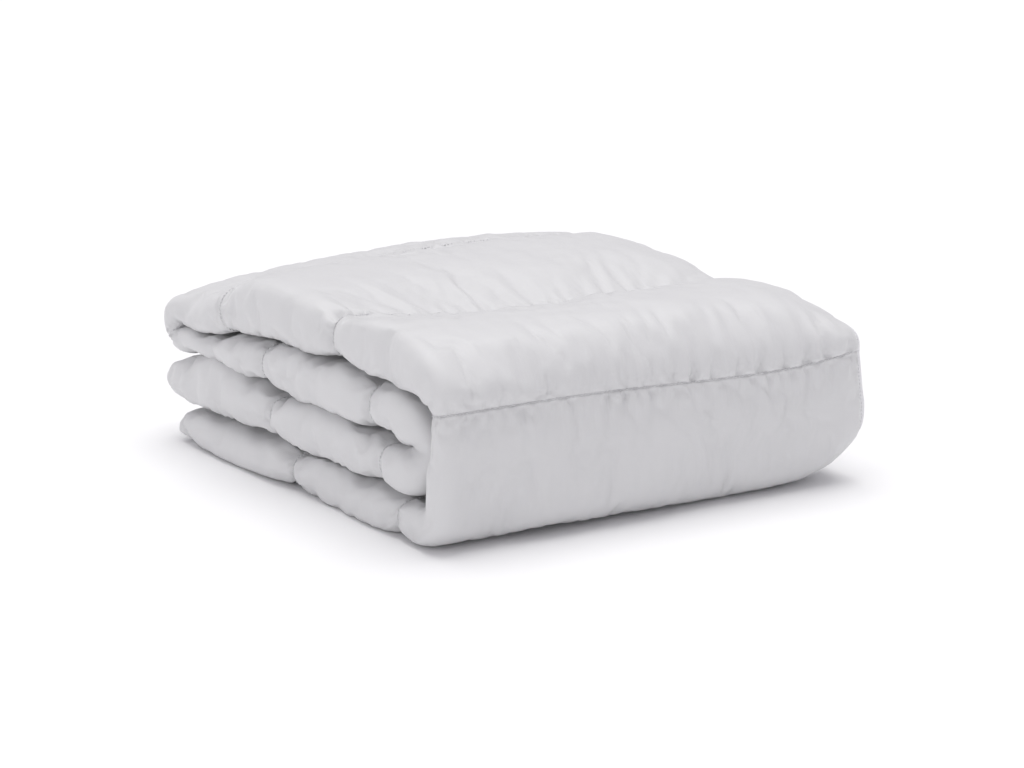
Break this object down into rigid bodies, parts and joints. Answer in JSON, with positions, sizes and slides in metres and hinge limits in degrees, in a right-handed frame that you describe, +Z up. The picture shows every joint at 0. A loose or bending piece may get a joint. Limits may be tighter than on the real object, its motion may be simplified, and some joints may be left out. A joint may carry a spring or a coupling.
{
  "type": "folded quilted duvet",
  "caption": "Rectangular channel-quilted duvet folded into a thick square stack, with a wrapped front and loose folds at the side.",
  "frame": {"origin": "middle of the folded pack's footprint, on the surface it lies on", "axes": "+X across the pack, from the folded edges to the hem edges; -Y is the front, where the cover wraps from bottom to top; +Z up"},
  "size_m": [0.5558, 0.5882, 0.2126],
  "materials": {
    "face_cloth": "white brushed microfibre with a soft satin sheen",
    "back_cloth": "white plain microfibre",
    "hem": "white microfibre, turned twice and sewn flat",
    "wadding": "loose white polyester fibre",
    "thread": "white spun polyester sewing thread",
    "label": "blank white woven tape"
  },
  "bodies": {
    "base": {"face_cover_base": "face_cloth", "back_cover_base": "back_cloth", "outer_side_hem_base": "hem", "inner_side_hem_base": "hem", "end_hem_base": "hem", "fill_channel_01": "wadding", "fill_channel_02": "wadding", "quilt_stitching_01": "thread", "quilt_stitching_02": "thread"},
    "front": {"face_cover_front": "face_cloth", "back_cover_front": "back_cloth", "outer_side_hem_front": "hem", "inner_side_hem_front": "hem", "fill_channel_03": "wadding", "quilt_stitching_03": "thread"},
    "top": {"face_cover_top": "face_cloth", "back_cover_top": "back_cloth", "outer_side_hem_top": "hem", "inner_side_hem_top": "hem", "end_hem_top": "hem", "fill_channel_04": "wadding", "fill_channel_05": "wadding", "fill_channel_06": "wadding", "fill_channel_07": "wadding", "fill_channel_08": "wadding", "fill_channel_09": "wadding", "fill_channel_10": "wadding", "fill_channel_11": "wadding", "quilt_stitching_04": "thread", "quilt_stitching_05": "thread", "quilt_stitching_06": "thread", "quilt_stitching_07": "thread", "quilt_stitching_08": "thread", "quilt_stitching_09": "thread", "quilt_stitching_10": "thread", "care_label": "label"}
  },
  "joints": [
    {"name": "front_fold", "type": "hinge", "parent": "base", "child": "front", "pos_m": [0, -0.27996, 0.0141], "axis": [1, 0, 0], "range_deg": [0, 90], "deforming": ["face_cover_front", "back_cover_front", "outer_side_hem_front", "inner_side_hem_front", "fill_channel_03", "quilt_stitching_03"]},
    {"name": "top_fold", "type": "hinge", "parent": "front", "child": "top", "pos_m": [0, -0.27807, 0.1892], "axis": [1, 0, 0], "range_deg": [0, 90]}
  ]
}
